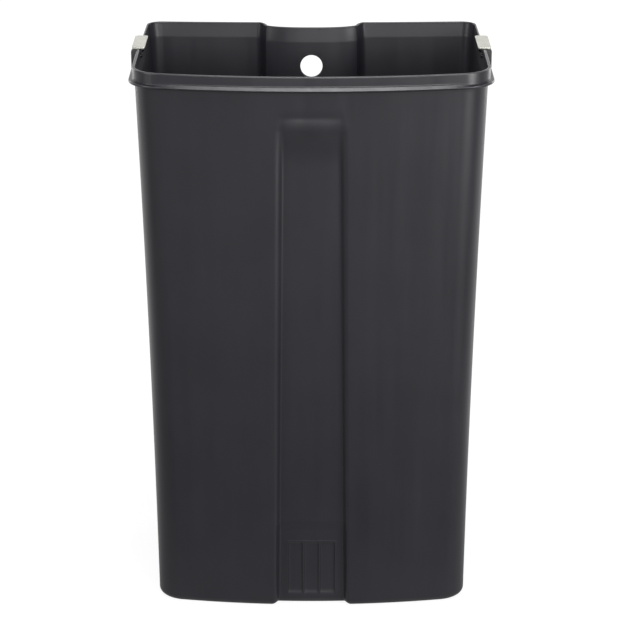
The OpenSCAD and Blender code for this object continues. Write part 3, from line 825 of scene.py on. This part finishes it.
# plate: x runs across, y along, cut back by the corner rounds; the inner edge dips as a rolled lip
def makePlate():
    outerCorner, innerCorner = clip["outerCorner"], clip["innerCorner"]
    outer = bracketOut - clip["inset"]
    inner = outer - clip["wide"]
    x = np.concatenate([
        inner + innerCorner * np.array([0, 0.32, 0.64, 1]),  # round the inner corners
        np.linspace(inner + innerCorner, outer - outerCorner, 12)[1:-1],
        outer - outerCorner * np.array([1, 0.74, 0.5, 0.29, 0.13, 0]),  # round the outer corners
    ])
    intoInner = np.clip(inner + innerCorner - x, 0, innerCorner)
    intoOuter = np.clip(x - outer + outerCorner, 0, outerCorner)
    innerCut = innerCorner - np.sqrt(innerCorner ** 2 - intoInner ** 2)
    outerCut = outerCorner - np.sqrt(outerCorner ** 2 - intoOuter ** 2)
    reach = bucket["bracketLong"] / 2 - innerCut - outerCut
    along = np.linspace(-1, 1, 33)
    gridX = x[:, None] + 0 * along
    gridY = bracketY + reach[:, None] * along
    lip = clip["lipDrop"] * softRamp((inner + clip["lipWide"] - gridX) / clip["lipWide"], 0.4)
    points = np.concatenate([
        np.stack([gridX, gridY, plateLow + clip["thick"] - lip], -1).reshape(-1, 3),
        np.stack([gridX, gridY, plateLow + 0 * gridX], -1).reshape(-1, 3),
    ])
    number = numbered(*gridX.shape)
    topFaces = rowFaces(number, closed=False)[:, ::-1]
    rim = np.concatenate([number[:-1, 0], number[-1, :-1], number[:0:-1, -1], number[0, :0:-1]])
    nextRim = np.roll(rim, -1)
    under = number.size
    walls = np.stack([rim + under, nextRim + under, nextRim, rim], -1)
    return points, topFaces.tolist() + (topFaces[:, ::-1] + under).tolist() + walls.tolist()


# knuckle: a keyhole outline with a round bore, carried along Y
def makeKnuckle(start, stop):
    neck = clip["neck"] / 2
    meet = np.arcsin(neck / clip["knuckle"])
    turn = np.linspace(meet, 2 * np.pi - meet, 37)
    high = plateLow + clip["thick"] / 2 - hingeZ
    topX = np.linspace(-neck, neck, 5)
    outline = np.concatenate([
        np.stack([clip["knuckle"] * np.sin(turn), clip["knuckle"] * np.cos(turn)], 1),
        np.stack([topX, high + 0 * topX], 1),
    ])
    angle = np.arctan2(outline[:, 0], outline[:, 1])
    bore = clip["bore"] * np.stack([np.sin(angle), np.cos(angle)], 1)
    section = np.stack([outline, outline, bore, bore])
    y = np.array([start, stop, stop, start])[:, None] + 0 * angle
    points = np.stack([hingeX + section[..., 0], y, hingeZ + section[..., 1]], -1)
    number = numbered(len(section), len(angle))
    return points.reshape(-1, 3), rowFaces(np.concatenate([number, number[:1]])).tolist()


# the knuckles leave room for the spring between them
def makeClip():
    springStart, springStop = bracketY - spring["room"] / 2, bracketY + spring["room"] / 2
    return joined(
        makePlate(),
        makeKnuckle(pocketStart + clip["knuckleGap"], springStart),
        makeKnuckle(springStop, pocketStop - clip["knuckleGap"]),
    )


pin = {"across": 2.5, "seat": 8.0, "head": 4.4, "headThick": 1.0, "chamfer": 0.4}


# headed pin: a chamfered tip, the shank, and a flat head with an eased rim
def makePin():
    r, head, chamfer = pin["across"] / 2, pin["head"] / 2, pin["chamfer"]
    tip, end = pocketStart - pin["seat"], bracketStop + pin["headThick"]
    headY = end - chamfer * np.array([0.875, 0.25, 0])
    headR = head - chamfer * np.array([0, 0.3, 1])
    y = [tip, tip + chamfer, bracketStop, bracketStop, *headY]
    return turned(y, [r - chamfer, r, r, head, *headR], hingeX, hingeZ)


spring = {"wire": 0.8, "turns": 5, "pitch": 1.4, "gap": 0.3, "room": 14.0}


# torsion spring: a straight leg up to the plate, a helix round the pin, a straight leg down to the pocket
def makeSpring():
    coil = pin["across"] / 2 + spring["gap"] + spring["wire"] / 2
    half = spring["turns"] * spring["pitch"] / 2
    turnSteps, legPoints = 28, 6
    turn = np.linspace(0, spring["turns"], spring["turns"] * turnSteps + 1)
    angle = 2 * np.pi * turn
    helix = np.stack([coil * np.cos(angle), spring["pitch"] * turn - half, -coil * np.sin(angle)], 1)
    up = np.linspace(plateLow - hingeZ - spring["gap"], 0, legPoints)[:-1]
    down = np.linspace(0, spring["gap"] - cheekRound, legPoints)[1:]
    legUp = np.stack([coil + 0 * up, 0 * up - half, up], 1)
    legDown = np.stack([coil + 0 * down, 0 * down + half, down], 1)
    path = np.concatenate([legUp, helix, legDown]) + [hingeX, bracketY, hingeZ]
    return wireTube(path, spring["wire"])


screw = {
    "across": 3.0, "grip": 4.5, "span": 28.0, "drop": 8.6, "head": 5.0, "headThick": 1.6, "headBack": 0.16,
    "crown": 3.6, "recess": 0.9, "recessLong": 2.8, "recessDeep": 1.0,
    "tipLong": 0.6, "tipIn": 0.5,  # chamfer of the tip
}


# screw along +X: polar rows from the middle of the head to the tip; in the crown a cross recess,
# whose edges the stations follow at an angle that narrows with the radius
def makeScrew(y):
    z = rimZ - screw["drop"]
    headX = bracketIn - bucket["bandThick"] - screw["headBack"]
    half, long = screw["recess"] / 2, screw["recessLong"] / 2
    crown, rim, shank = screw["crown"] / 2, screw["head"] / 2, screw["across"] / 2
    thick = screw["headThick"]
    tip = bracketIn + screw["grip"] - headX + thick
    sunkenRows = 4
    radius, place = np.array([
        (half * 1.6, 0), (0.9, 0), (1.15, 0), (long - 0.04, 0), (long, 0),  # recess and its end wall
        (crown - 0.15, 0.02), (crown, 0.12), ((crown + rim) / 2, 0.5),  # crown
        (rim, thick - 0.25), (rim, thick),  # edge of the head
        (shank, thick), (shank, tip - screw["tipLong"]), (shank - screw["tipIn"], tip),
    ]).T[..., None]
    slotAngle = np.arcsin(half / radius)
    share = np.array([-1, 0, 1, 1.06, 1.5, 2, 2.5, 2.94])  # of a quarter turn; the recess is from -1 to 1
    besideSlot = slotAngle + (share - 1) / 2 * (np.pi / 2 - 2 * slotAngle)
    quarterTurn = np.where(share <= 1, share * slotAngle, besideSlot)
    angle = np.concatenate([quarterTurn + np.pi / 2 * k for k in range(4)], 1)
    sunken = np.tile(share <= 1, 4) & (np.arange(len(radius)) < sunkenRows)[:, None]
    sunken[0] = True
    x = headX - thick + place + screw["recessDeep"] * sunken
    points = np.stack([x, y + radius * np.cos(angle), z + radius * np.sin(angle)], -1)
    return points.reshape(-1, 3), tubeFaces(*angle.shape)


# two screws, half a span to either side of the middle between the bracket's front and the jog
def makeScrews():
    middle = (bracketFront + jogStart) / 2 + midY
    return joined(*[makeScrew(middle + side * screw["span"] / 2) for side in (-1, 1)])


# name, shape on the right side, material, node, slot, and the angle from which an edge is sharp
clipPieces = [
    ("Bracket", makeBracket(), bracketPlastic, "_clip_bracket", "bracket_plastic", 30),
    ("BagClip", makeClip(), clipMetal, "_bag_clip", "clip_metal", 40),
    ("HingePin", makePin(), pinSteel, "_hinge_pin", "pin_steel", 30),
    ("ClipSpring", makeSpring(), springSteel, "_clip_spring", "spring_steel", 60),
    ("BracketScrews", makeScrews(), screwSteel, "_bracket_screws", "screw_steel", 30),
]
edgeRounds = {"Bracket": bracket["edge"], "BagClip": clip["edge"]}
for side in ("left", "right"):
    for name, shape, material, node, slotName, sharp in clipPieces:
        sideShape = onSide(side == "left", shape)
        piece = makePiece(side + name, sideShape, material, side + node, sharp)
        if name in edgeRounds:
            roundEdges(piece, edgeRounds[name])
print("clips made")


# lengths in metres; a lift is how bright the floor looks by itself, where 1 is white
studio = {
    "worldStrength": 0.2,
    "floorSize": 40.0,
    "floorColour": (0.16, 0.16, 0.16),
    "floorLift": (0.87, 0.97),  # near and far
    "floorLiftReach": (0.6, 3.0),
    "backdropStart": (-0.3, 0.4),
    "backdropLift": 0.8,
    # in reflections the floor in front glows more with distance, leaving painted shade next to the bucket
    "frontShadeReach": (-0.3, -1.6),
    "frontShadeLift": 0.26,
}


# floor that looks white to the camera and keeps the bucket's shadow;
# behind the bucket it also looks white in reflections, like a backdrop that is lit on its own,
# and in front of it it glows in reflections more with distance, a painted shade next to the bucket
def makeFloor():
    half = studio["floorSize"] / 2
    corners = [[-half, -half, 0], [half, -half, 0], [half, half, 0], [-half, half, 0]]
    mesh = bpy.data.meshes.new("studioFloor")
    mesh.from_pydata(corners, [], [[0, 1, 2, 3]])
    floor = bpy.data.objects.new("studioFloor", mesh)
    bpy.context.scene.collection.objects.link(floor)
    material = bpy.data.materials.new("studioFloor")
    material.use_nodes = True
    tree = material.node_tree
    tree.nodes.remove(tree.nodes["Principled BSDF"])
    matte = tree.nodes.new("ShaderNodeBsdfDiffuse")
    matte.inputs["Color"].default_value = (*studio["floorColour"], 1)
    place = tree.nodes.new("ShaderNodeTexCoord").outputs["Object"]
    away = tree.nodes.new("ShaderNodeVectorMath")
    away.operation = "LENGTH"
    link(tree, place, away.inputs[0])
    axes = tree.nodes.new("ShaderNodeSeparateXYZ")
    link(tree, place, axes.inputs[0])
    path = tree.nodes.new("ShaderNodeLightPath")
    nearFar = mapped(tree, away.outputs["Value"], *studio["floorLiftReach"], *studio["floorLift"])
    seen = mathNode(tree, "MULTIPLY", path.outputs["Is Camera Ray"], nearFar)
    behind = mapped(tree, axes.outputs["Y"], *studio["backdropStart"], 0, studio["backdropLift"])
    # painted shade in reflections: the floor in front glows less the nearer it lies to the bucket
    before = mapped(tree, axes.outputs["Y"], *studio["frontShadeReach"], 0, studio["frontShadeLift"])
    both = mathNode(tree, "ADD", behind, before)
    mirrored = mathNode(tree, "MULTIPLY", path.outputs["Is Glossy Ray"], both)
    glow = tree.nodes.new("ShaderNodeEmission")
    glow.inputs["Color"].default_value = (1, 1, 1, 1)
    link(tree, mathNode(tree, "MAXIMUM", seen, mirrored), glow.inputs["Strength"])
    surface = tree.nodes.new("ShaderNodeAddShader")
    link(tree, matte.outputs[0], surface.inputs[0])
    link(tree, glow.outputs[0], surface.inputs[1])
    link(tree, surface.outputs[0], tree.nodes["Material Output"].inputs["Surface"])
    mesh.materials.append(material)


# white to the camera, a soft even light to everything else
def makeWorld():
    world = bpy.data.worlds.new("studioWorld")
    bpy.context.scene.world = world
    world.use_nodes = True
    tree = world.node_tree
    soft = tree.nodes["Background"]
    soft.inputs["Color"].default_value = (1, 1, 1, 1)
    soft.inputs["Strength"].default_value = studio["worldStrength"]
    white = tree.nodes.new("ShaderNodeBackground")
    white.inputs["Color"].default_value = (1, 1, 1, 1)
    mix = tree.nodes.new("ShaderNodeMixShader")
    path = tree.nodes.new("ShaderNodeLightPath")
    link(tree, path.outputs["Is Camera Ray"], mix.inputs["Fac"])
    link(tree, soft.outputs[0], mix.inputs[1])
    link(tree, white.outputs[0], mix.inputs[2])
    link(tree, mix.outputs[0], tree.nodes["World Output"].inputs["Surface"])


# area lamp at place, turned towards target
def makeSoftbox(name, place, target, size, power):
    lamp = bpy.data.lights.new(name, "AREA")
    lamp.shape = "RECTANGLE"
    lamp.size, lamp.size_y = size
    lamp.energy = power
    box = bpy.data.objects.new(name, lamp)
    box.location = place
    box.rotation_euler = (Vector(target) - Vector(place)).to_track_quat("-Z", "Y").to_euler()
    bpy.context.scene.collection.objects.link(box)


# in metres and watts
softboxes = {
    "topSoftbox": {"place": (0.1, -0.45, 2.4), "target": (0, -0.1, 0.5), "size": (1.2, 0.8), "power": 31.0},
    "frontSoftbox": {"place": (0.3, -2.6, 1.3), "target": (0, 0, 0.5), "size": (2.2, 0.9), "power": 46.0},
    "rightSoftbox": {"place": (2.0, -1.7, 0.75), "target": (0, 0, 0.3), "size": (1.0, 1.2), "power": 48.0},
    "leftSoftbox": {"place": (-1.8, -1.1, 1.1), "target": (0, 0, 0.5), "size": (0.8, 1.2), "power": 18.0},
    "leftRimSoftbox": {"place": (-1.2, 1.2, 0.7), "target": (0, 0, 0.3), "size": (0.5, 1.2), "power": 6.0},
    "rightRimSoftbox": {"place": (1.2, 1.2, 0.7), "target": (0, 0, 0.3), "size": (0.5, 1.2), "power": 6.0},
    "backSoftbox": {"place": (0.0, 3.0, 1.6), "target": (0, 0, 0.9), "size": (6.0, 2.2), "power": 38.0},
}
makeFloor()
makeWorld()
for name, box in softboxes.items():
    makeSoftbox(name, **box)

cameraSetup = {
    "place": (0.6, -2330.8, 1132.1),
    "pitch": 70.327,  # 90 looks level
    "lens": 131.9,
    "sensor": 36.0,
    "farthest": 100.0,  # in metres
}
cameraData = bpy.data.cameras.new("photoCamera")
cameraData.lens = cameraSetup["lens"]
cameraData.sensor_width = cameraSetup["sensor"]
cameraData.clip_end = cameraSetup["farthest"]
camera = bpy.data.objects.new("photoCamera", cameraData)
camera.location = Vector(cameraSetup["place"]) * mm
camera.rotation_euler = (np.radians(cameraSetup["pitch"]), 0, 0)
bpy.context.scene.collection.objects.link(camera)
bpy.context.scene.camera = camera
bpy.context.scene.view_settings.view_transform = "Standard"
print("studio made")

bpy.context.view_layer.update()
